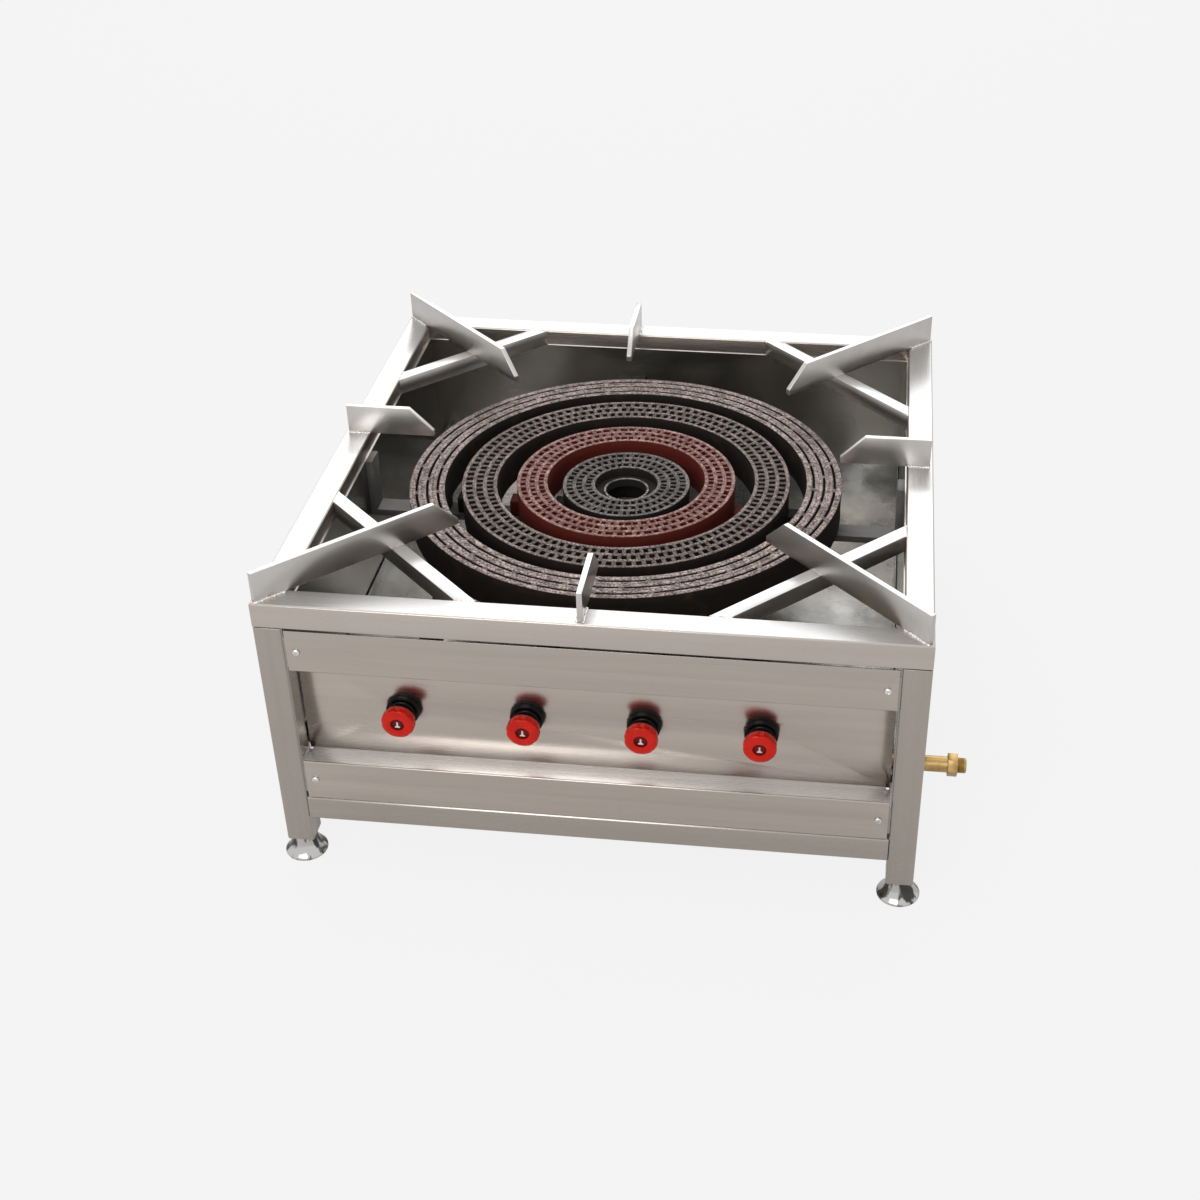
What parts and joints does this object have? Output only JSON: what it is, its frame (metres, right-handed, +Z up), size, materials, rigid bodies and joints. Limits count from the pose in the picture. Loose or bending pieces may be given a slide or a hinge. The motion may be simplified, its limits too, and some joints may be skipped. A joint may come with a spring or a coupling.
{
  "type": "stock pot range",
  "caption": "Low square gas range for a large stock pot: steel tube frame, upright pan supports, concentric ring burners and a recessed valve panel.",
  "frame": {"origin": "on the floor, at the bottom centre of the whole object's box, with the knobs and the gas inlet in it", "axes": "+X to the right as seen from the front, where the gas inlet is, +Y to the back, +Z up"},
  "size_m": [0.7556, 0.7174, 0.38],
  "materials": {
    "steel_tube": "satin ground stainless steel tube",
    "steel_bar": "mill finish stainless steel bar, cut edges",
    "steel_sheet": "stainless steel sheet brushed along its length",
    "tray_steel": "bright stainless steel sheet, a little mottled",
    "foot_chrome": "polished bright",
    "screw_steel": "bright zinc plated",
    "collar_black": "glossy black",
    "knob_red": "glossy red",
    "valve_brass": "machined brass",
    "burner_iron": "cast iron, sand-cast walls and a machined top",
    "burner_oxide": "cast iron with a red oxide primer on its walls",
    "bar_iron": "dull grey flat steel",
    "manifold_pipe": "dark painted gas pipe",
    "inlet_brass": "bright turned brass"
  },
  "bodies": {
    "range_frame": {"bottom_rail_front": "steel_tube", "bottom_rail_left": "steel_tube", "bottom_rail_rear": "steel_tube", "bottom_rail_right": "steel_tube", "burner_bar": "bar_iron", "burner_bolts": "screw_steel", "burner_ring_1": "burner_iron", "burner_ring_2": "burner_oxide", "burner_ring_3": "burner_iron", "burner_ring_4": "burner_iron", "corner_brace_front_left": "steel_bar", "corner_brace_front_right": "steel_bar", "corner_brace_rear_left": "steel_bar", "corner_brace_rear_right": "steel_bar", "front_strip_lower": "steel_sheet", "front_strip_upper": "steel_sheet", "gas_inlet": "inlet_brass", "gas_manifold": "manifold_pipe", "gas_valve_1": "valve_brass", "gas_valve_2": "valve_brass", "gas_valve_3": "valve_brass", "gas_valve_4": "valve_brass", "leg_front_left": "steel_tube", "leg_front_right": "steel_tube", "leg_rear_left": "steel_tube", "leg_rear_right": "steel_tube", "mixing_tube_1": "burner_iron", "mixing_tube_2": "burner_iron", "mixing_tube_3": "burner_iron", "mixing_tube_4": "burner_iron", "pan_support_front": "steel_bar", "pan_support_front_left": "steel_bar", "pan_support_front_right": "steel_bar", "pan_support_left": "steel_bar", "pan_support_rear": "steel_bar", "pan_support_rear_left": "steel_bar", "pan_support_rear_right": "steel_bar", "pan_support_right": "steel_bar", "panel_screws": "screw_steel", "rear_lug": "burner_iron", "rear_panel": "steel_sheet", "side_panel_left": "steel_sheet", "side_panel_right": "steel_sheet", "spill_tray": "tray_steel", "top_rail_front": "steel_tube", "top_rail_left": "steel_tube", "top_rail_rear": "steel_tube", "top_rail_right": "steel_tube", "valve_collars": "collar_black", "valve_panel": "steel_sheet"},
    "knob_1": {"valve_knob_1": "knob_red"},
    "knob_2": {"valve_knob_2": "knob_red"},
    "knob_3": {"valve_knob_3": "knob_red"},
    "knob_4": {"valve_knob_4": "knob_red"},
    "foot_front_left": {"foot_front_left": "foot_chrome"},
    "foot_front_right": {"foot_front_right": "foot_chrome"},
    "foot_rear_right": {"foot_rear_right": "foot_chrome"},
    "foot_rear_left": {"foot_rear_left": "foot_chrome"}
  },
  "joints": [
    {"name": "valve_knob_1_turn", "type": "hinge", "parent": "range_frame", "child": "knob_1", "pos_m": [-0.22615, -0.345, 0.2005], "axis": [0, -1, 0], "range_deg": [0, 540]},
    {"name": "valve_knob_2_turn", "type": "hinge", "parent": "range_frame", "child": "knob_2", "pos_m": [-0.09115, -0.345, 0.2005], "axis": [0, -1, 0], "range_deg": [0, 540]},
    {"name": "valve_knob_3_turn", "type": "hinge", "parent": "range_frame", "child": "knob_3", "pos_m": [0.03485, -0.345, 0.2005], "axis": [0, -1, 0], "range_deg": [0, 540]},
    {"name": "valve_knob_4_turn", "type": "hinge", "parent": "range_frame", "child": "knob_4", "pos_m": [0.15985, -0.345, 0.2005], "axis": [0, -1, 0], "range_deg": [0, 540]},
    {"name": "foot_front_left_height", "type": "slide", "parent": "range_frame", "child": "foot_front_left", "axis": [0, 0, -1], "range_m": [0, 0.015]},
    {"name": "foot_front_right_height", "type": "slide", "parent": "range_frame", "child": "foot_front_right", "axis": [0, 0, -1], "range_m": [0, 0.015]},
    {"name": "foot_rear_right_height", "type": "slide", "parent": "range_frame", "child": "foot_rear_right", "axis": [0, 0, -1], "range_m": [0, 0.015]},
    {"name": "foot_rear_left_height", "type": "slide", "parent": "range_frame", "child": "foot_rear_left", "axis": [0, 0, -1], "range_m": [0, 0.015]}
  ]
}
